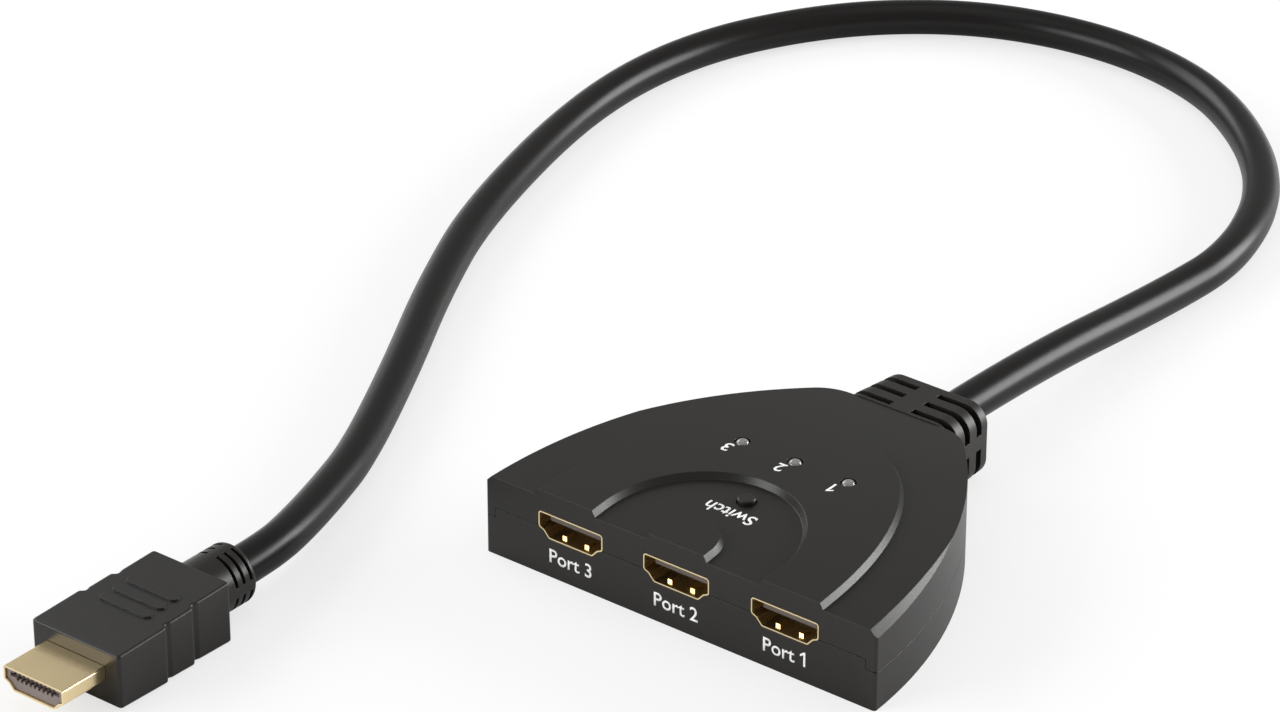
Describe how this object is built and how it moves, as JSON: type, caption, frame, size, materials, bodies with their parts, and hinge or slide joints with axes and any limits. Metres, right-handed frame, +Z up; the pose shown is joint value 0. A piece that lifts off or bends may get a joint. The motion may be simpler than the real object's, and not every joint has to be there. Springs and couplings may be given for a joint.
{
  "type": "hdmi switch box",
  "caption": "Fan-shaped video switch box with sockets in its wide front, a select button, status lamps and a fixed cable with a plug.",
  "frame": {"origin": "on the floor, midway along the case and its strain relief, in the middle of its width", "axes": "+X along the socket face towards socket 1, +Y from the socket face to the strain relief, +Z up"},
  "size_m": [0.1874, 0.3335, 0.0185],
  "materials": {
    "case_plastic": "satin",
    "relief_plastic": "satin",
    "grip_plastic": "satin",
    "cable_jacket": "semi-gloss",
    "gold_plate": "gold plated",
    "contact_metal": "gold plated",
    "insulator_plastic": "matte",
    "board_green": "solder mask",
    "bright_steel": "bright",
    "lamp_lens": "clear, unlit",
    "chip_plastic": "matte",
    "capacitor_body": "ceramic",
    "core_insulation": "satin"
  },
  "bodies": {
    "case": {"base_shell": "case_plastic", "cable": "cable_jacket", "cable_cores": "core_insulation", "case_screws": "bright_steel", "chip_capacitors": "capacitor_body", "chip_resistors": "chip_plastic", "circuit_board": "board_green", "controller_chip": "chip_plastic", "led_1": "lamp_lens", "led_2": "lamp_lens", "led_3": "lamp_lens", "led_leads": "bright_steel", "lid_shell": "case_plastic", "plug_contacts": "contact_metal", "plug_grip": "grip_plastic", "plug_insulator": "insulator_plastic", "plug_shell": "gold_plate", "plug_shield_can": "bright_steel", "socket_contacts_1": "contact_metal", "socket_contacts_2": "contact_metal", "socket_contacts_3": "contact_metal", "socket_insulator_1": "insulator_plastic", "socket_insulator_2": "insulator_plastic", "socket_insulator_3": "insulator_plastic", "socket_shell_1": "gold_plate", "socket_shell_2": "gold_plate", "socket_shell_3": "gold_plate", "strain_relief": "relief_plastic", "switch_body": "chip_plastic", "switch_chip": "chip_plastic", "switch_cover": "bright_steel", "switch_dome": "bright_steel"},
    "button": {"select_button": "case_plastic", "switch_plunger": "chip_plastic"}
  },
  "joints": [
    {"name": "select_press", "type": "slide", "parent": "case", "child": "button", "axis": [0, 0, -1], "range_m": [0, 0.0003], "stiffness_N_per_m": 800, "springref_m": -0.001, "deforming": ["switch_dome"]}
  ]
}
